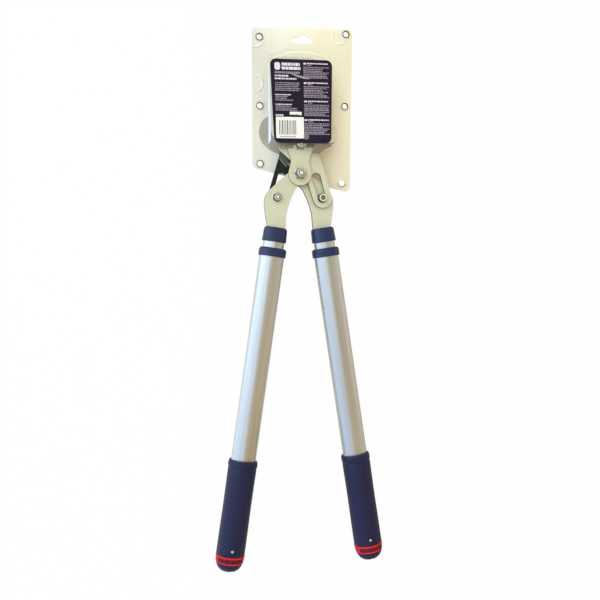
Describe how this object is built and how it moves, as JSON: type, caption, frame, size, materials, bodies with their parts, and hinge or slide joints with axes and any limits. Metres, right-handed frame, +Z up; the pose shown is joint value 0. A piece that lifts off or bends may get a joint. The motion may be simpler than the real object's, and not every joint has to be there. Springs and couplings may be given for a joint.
{
  "type": "telescopic anvil lopper",
  "caption": "Two-handed anvil lopper with compound linkage, telescopic handles and grips, its jaws in a hanging blister pack.",
  "frame": {"origin": "on the surface that the lopper lies on, straight below the pivot of its two handles, on the underside of the pack's back sheet", "axes": "+Y towards the jaws, +X towards the right handle as pictured, +Z up from the surface"},
  "size_m": [0.2206, 0.6971, 0.0383],
  "materials": {
    "satin_steel": "satin champagne-grey plated steel",
    "coated_blade": "black non-stick coating",
    "zinc_steel": "bright zinc",
    "bronze": "plain bearing bronze",
    "soft_anvil": "soft cast anvil",
    "anodised_aluminium": "drawn, clear anodised",
    "navy_plastic": "moulded, satin",
    "navy_rubber": "soft touch moulding",
    "red_plastic": "moulded, satin",
    "black_nylon": "moulded",
    "pack_sheet": "milky cream sheet",
    "clear_plastic": "clear vacuum-formed sheet",
    "label_navy": "printed card",
    "label_white": "printed paper"
  },
  "bodies": {
    "head": {"link_plate_near": "satin_steel", "link_plate_far": "satin_steel", "handle_pivot_bolt": "zinc_steel", "handle_pivot_nut": "zinc_steel", "handle_pivot_bush": "bronze", "jaw_pivot_bolt": "zinc_steel", "jaw_pivot_nut": "zinc_steel", "jaw_pivot_bush": "bronze"},
    "left_handle": {"left_arm": "satin_steel", "left_slot_bolt": "zinc_steel", "left_slot_nut": "zinc_steel", "left_slot_washer": "zinc_steel", "left_slot_roller": "bronze", "left_arm_collar": "navy_plastic", "left_tang_pin": "zinc_steel", "left_inner_tube": "anodised_aluminium", "left_inner_glide": "black_nylon"},
    "right_handle": {"right_arm": "satin_steel", "right_slot_bolt": "zinc_steel", "right_slot_nut": "zinc_steel", "right_slot_washer": "zinc_steel", "right_slot_roller": "bronze", "right_arm_collar": "navy_plastic", "right_tang_pin": "zinc_steel", "right_inner_tube": "anodised_aluminium", "right_inner_glide": "black_nylon"},
    "left_sleeve": {"left_outer_tube": "anodised_aluminium", "left_tube_collar": "navy_plastic", "left_lever_pin": "zinc_steel", "left_lever_spring": "zinc_steel", "left_grip": "navy_rubber", "left_grip_band": "red_plastic", "left_end_cap": "navy_plastic", "left_grip_screw": "zinc_steel"},
    "right_sleeve": {"right_outer_tube": "anodised_aluminium", "right_tube_collar": "navy_plastic", "right_lever_pin": "zinc_steel", "right_lever_spring": "zinc_steel", "right_grip": "navy_rubber", "right_grip_band": "red_plastic", "right_end_cap": "navy_plastic", "right_grip_screw": "zinc_steel"},
    "left_lock": {"left_lock_lever": "red_plastic"},
    "right_lock": {"right_lock_lever": "red_plastic"},
    "anvil": {"anvil_jaw": "satin_steel", "anvil_plate": "soft_anvil", "anvil_screw_1": "zinc_steel", "anvil_screw_2": "zinc_steel"},
    "blade": {"blade": "coated_blade"},
    "pack": {"back_sheet": "pack_sheet", "blister_cover": "clear_plastic", "label_card": "label_navy", "label_panel": "label_white", "label_sticker": "label_white", "eyelet_1": "zinc_steel", "eyelet_2": "zinc_steel", "eyelet_3": "zinc_steel", "eyelet_4": "zinc_steel", "eyelet_5": "zinc_steel"}
  },
  "joints": [
    {"name": "left_handle_hinge", "type": "hinge", "parent": "head", "child": "left_handle", "pos_m": [0, 0, 0.017], "axis": [0, 0, -1], "range_deg": [0, 35]},
    {"name": "right_handle_hinge", "type": "hinge", "parent": "head", "child": "right_handle", "pos_m": [0, 0, 0.017], "axis": [0, 0, 1], "range_deg": [0, 35]},
    {"name": "blade_hinge", "type": "hinge", "parent": "head", "child": "blade", "pos_m": [0, 0.0365, 0.017], "axis": [0, 0, -1], "range_deg": [0, 17.8]},
    {"name": "anvil_hinge", "type": "hinge", "parent": "head", "child": "anvil", "pos_m": [0, 0.0365, 0.017], "axis": [0, 0, 1], "range_deg": [0, 17.8]},
    {"name": "left_telescope", "type": "slide", "parent": "left_handle", "child": "left_sleeve", "axis": [-0.1461, -0.9893, 0], "range_m": [0, 0.32]},
    {"name": "right_telescope", "type": "slide", "parent": "right_handle", "child": "right_sleeve", "axis": [0.1461, -0.9893, 0], "range_m": [0, 0.32]},
    {"name": "left_lock_press", "type": "hinge", "parent": "left_sleeve", "child": "left_lock", "pos_m": [-0.03624, -0.10988, 0.0024], "axis": [-0.9893, 0.1461, 0], "range_deg": [0, 3.2], "stiffness_Nm_per_rad": 0.4, "springref_deg": -5.73},
    {"name": "right_lock_press", "type": "hinge", "parent": "right_sleeve", "child": "right_lock", "pos_m": [0.03624, -0.10988, 0.0024], "axis": [-0.9893, -0.1461, 0], "range_deg": [0, 3.2], "stiffness_Nm_per_rad": 0.4, "springref_deg": -5.73},
    {"name": "pack_pull", "type": "slide", "parent": "head", "child": "pack", "axis": [0, 1, 0], "range_m": [0, 0.25]}
  ],
  "couplings": [
    {"joint": "blade_hinge", "follows": "left_handle_hinge", "ratio": 0.508},
    {"joint": "anvil_hinge", "follows": "right_handle_hinge", "ratio": 0.508}
  ]
}
